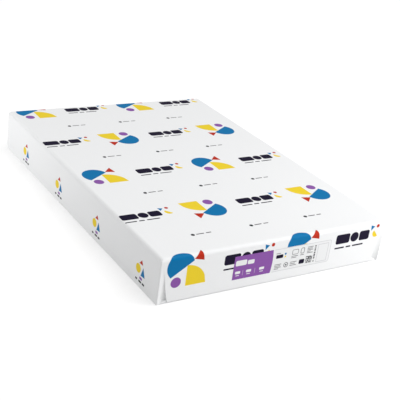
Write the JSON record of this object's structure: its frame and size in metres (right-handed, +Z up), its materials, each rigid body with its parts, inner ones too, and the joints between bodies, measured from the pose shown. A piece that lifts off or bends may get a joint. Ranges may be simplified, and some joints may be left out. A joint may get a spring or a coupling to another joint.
{
  "type": "ream of paper",
  "caption": "Flat rectangular pack of large office paper, sealed in a printed paper wrapper with folded ends and an end label. It lies flat and stacks.",
  "frame": {"origin": "on the surface the ream rests on, under its middle", "axes": "+X along the sheets' short side, +Y along their long side towards the end with no label, +Z up"},
  "size_m": [0.2982, 0.4249, 0.0525],
  "materials": {
    "wrapper": "satin",
    "label": "satin"
  },
  "bodies": {
    "root": {"wrapped_ream": "wrapper", "end_label": "label"}
  },
  "joints": []
}
